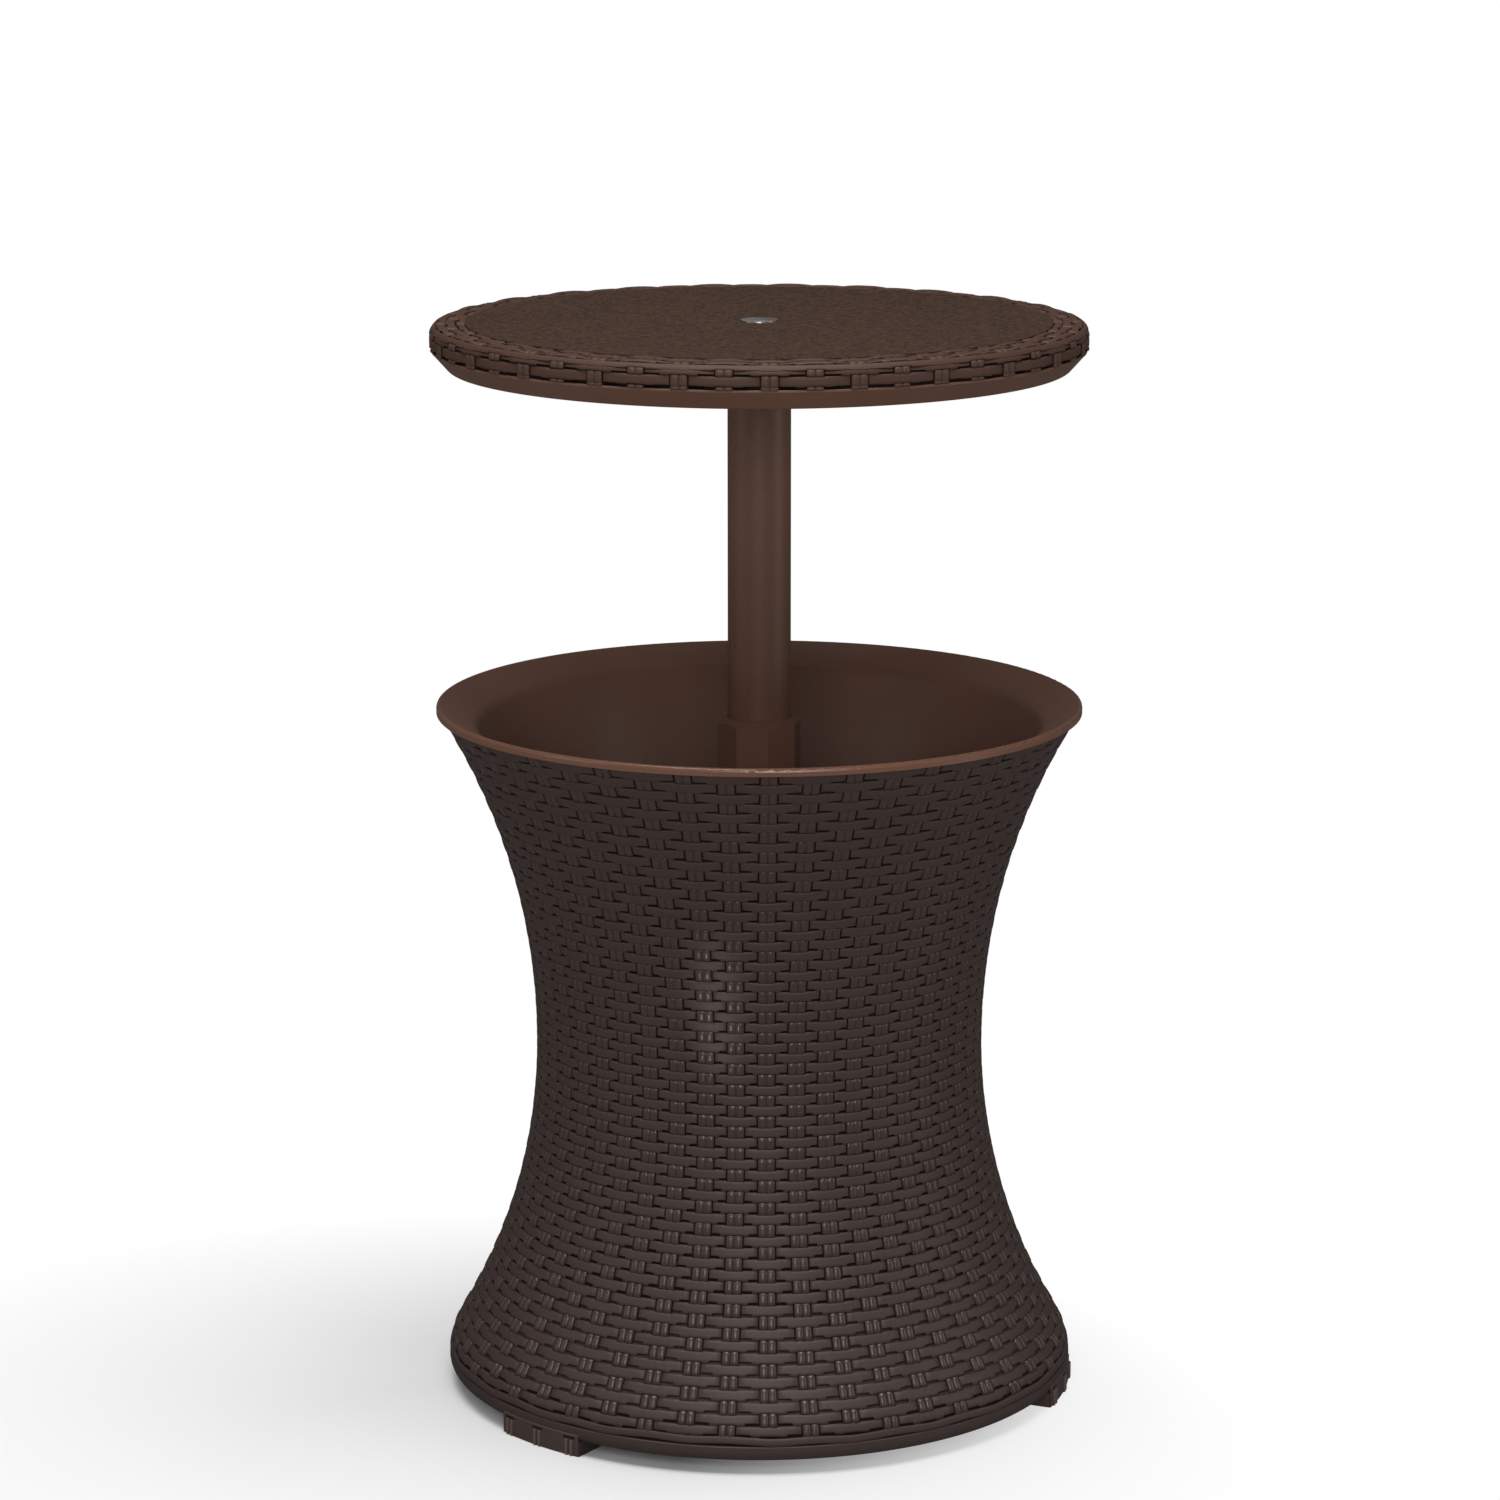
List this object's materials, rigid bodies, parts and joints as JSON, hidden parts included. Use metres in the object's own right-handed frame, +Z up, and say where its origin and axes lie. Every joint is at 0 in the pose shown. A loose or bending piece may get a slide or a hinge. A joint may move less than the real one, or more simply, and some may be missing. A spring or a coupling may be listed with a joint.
{
  "type": "cooler table with lid",
  "caption": "Round hourglass drink cooler with a woven-look shell; its round table top rises on a central post and closes the tub as a lid.",
  "frame": {"origin": "on the floor under the middle of the round body", "axes": "+Z up along the post, front towards -Y, the drain towards +X"},
  "size_m": [0.4949, 0.495, 0.8261],
  "materials": {
    "woven_shell": "moulded woven relief, dark brown, semi-matt",
    "smooth_brown": "smooth moulded brown, semi-matt",
    "panel_brown": "fine speckled grain",
    "base_black": "plain moulded, dark",
    "nylon": "natural nylon, satin",
    "seal_rubber": "soft black rubber",
    "zinc_steel": "zinc plated",
    "cap_silver": "satin disc, bare"
  },
  "bodies": {
    "root": {"body_shell": "woven_shell", "base_plate": "base_black", "base_screws": "zinc_steel", "tub": "smooth_brown", "guide_tube": "smooth_brown", "guide_gasket": "seal_rubber", "guide_nut": "base_black", "slide_bush": "nylon", "clamp_ring": "nylon", "end_plug": "base_black", "tie_bolt": "zinc_steel", "tie_washer": "zinc_steel", "drain_seat": "base_black", "drain_gasket": "seal_rubber", "drain_nut": "base_black"},
    "collar": {"lock_collar": "smooth_brown"},
    "table": {"post": "smooth_brown", "post_glide": "nylon", "post_insert": "base_black", "post_flange": "base_black", "flange_screws": "zinc_steel", "table_pan": "smooth_brown", "woven_border": "woven_shell", "top_panel": "panel_brown", "pan_screws": "zinc_steel", "centre_bolt": "zinc_steel", "bolt_washer": "zinc_steel", "centre_cap": "cap_silver"},
    "drain": {"drain_plug": "base_black", "plug_seal": "seal_rubber"}
  },
  "joints": [
    {"name": "table_lift", "type": "slide", "parent": "root", "child": "table", "axis": [0, 0, 1], "range_m": [-0.2615, 0]},
    {"name": "collar_turn", "type": "hinge", "parent": "root", "child": "collar", "pos_m": [0, 0, 0.5], "axis": [0, 0, 1], "range_deg": [0, 60]},
    {"name": "drain_pull", "type": "slide", "parent": "root", "child": "drain", "axis": [0, 0, 1], "range_m": [0, 0.03]}
  ]
}
